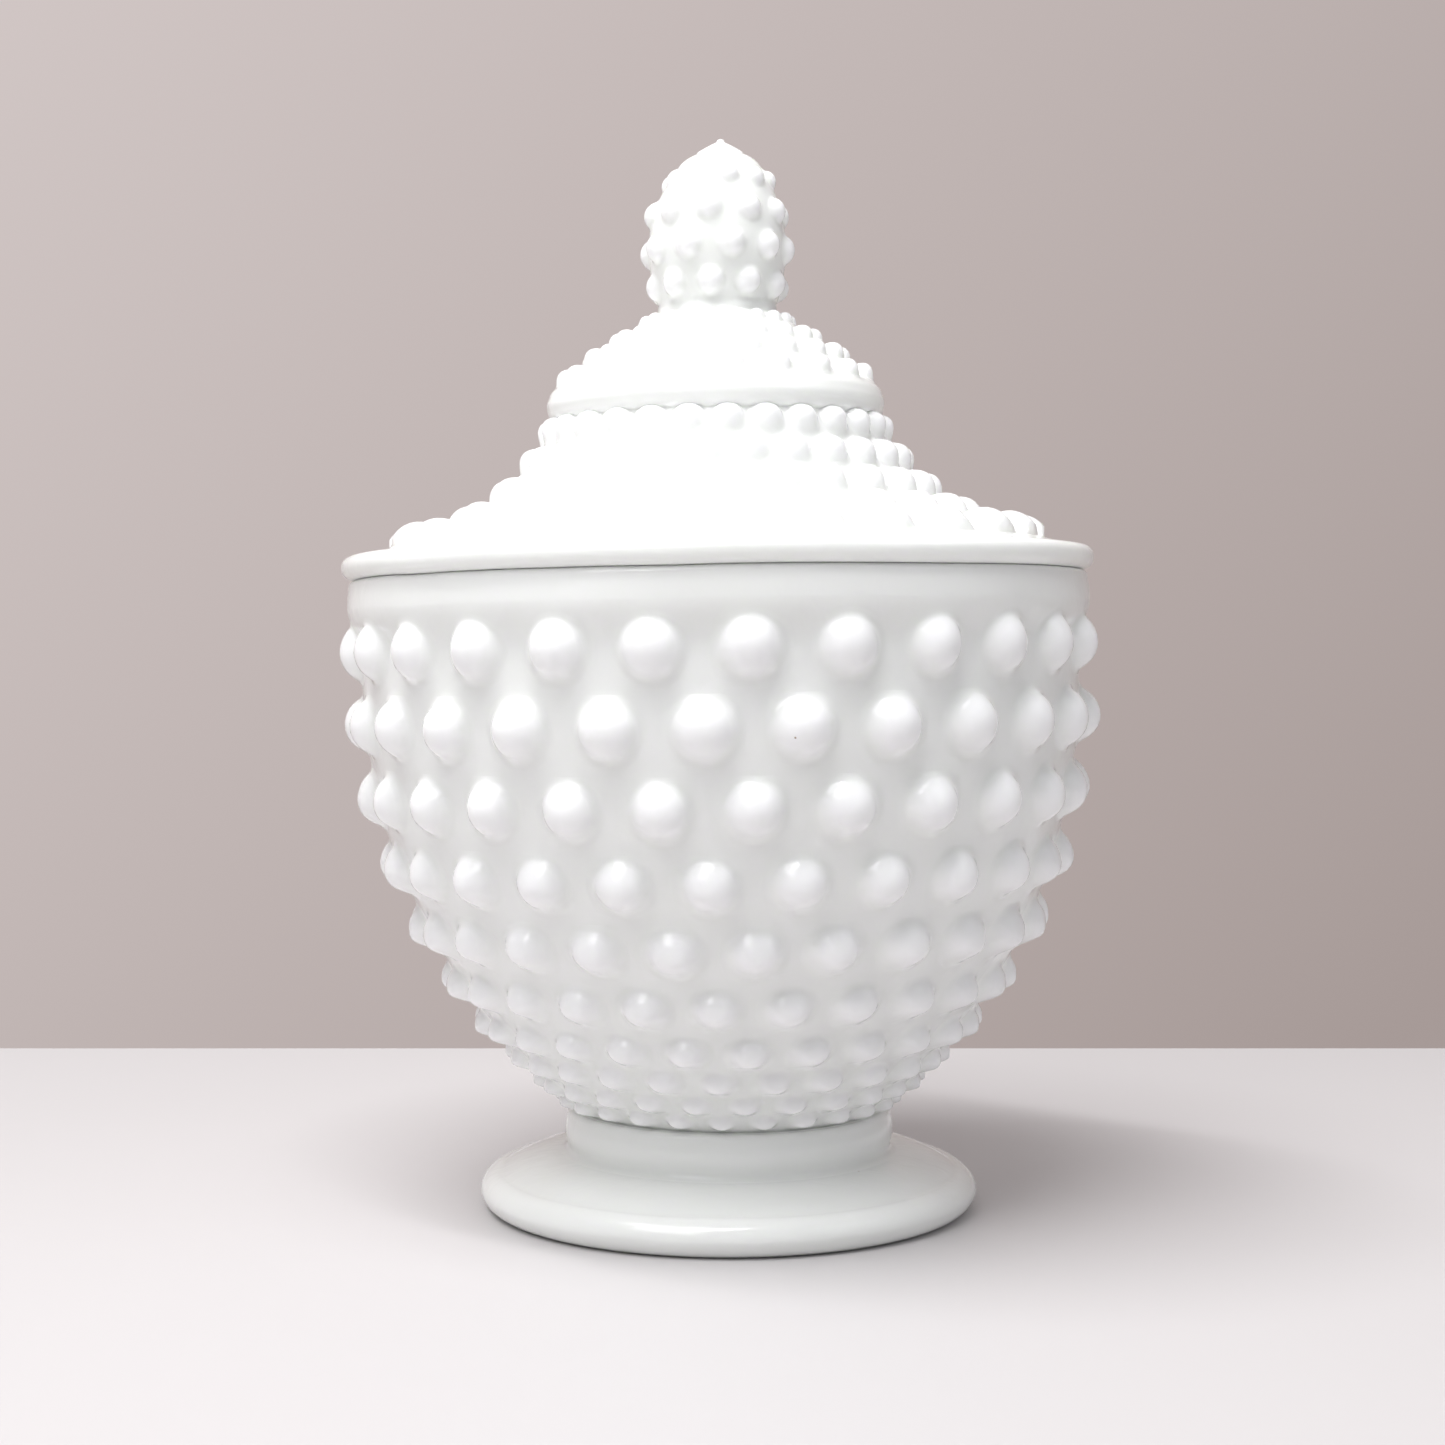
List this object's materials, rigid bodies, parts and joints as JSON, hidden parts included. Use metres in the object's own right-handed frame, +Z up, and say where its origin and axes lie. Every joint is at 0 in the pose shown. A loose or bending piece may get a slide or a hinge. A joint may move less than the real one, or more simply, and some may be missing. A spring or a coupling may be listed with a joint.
{
  "type": "covered footed jar",
  "caption": "Footed round jar of opaque white pressed glass with rows of raised hobs, a plain collar and foot, and a loose domed lid with a pointed hobbed finial.",
  "frame": {"origin": "middle of the standing ring, in the plane that the jar stands on", "axes": "+Z up along the axis that the jar and its lid are turned about"},
  "size_m": [0.153, 0.1528, 0.216],
  "materials": {
    "milk_glass": "opaque white milk glass, pressed and fire-polished, glossy, faintly translucent where it is thin"
  },
  "bodies": {
    "jar": {"jar": "milk_glass"},
    "lid": {"lid": "milk_glass"}
  },
  "joints": [
    {"name": "lid_lift", "type": "slide", "parent": "jar", "child": "lid", "axis": [0, 0, 1], "range_m": [0, 0.08]}
  ]
}
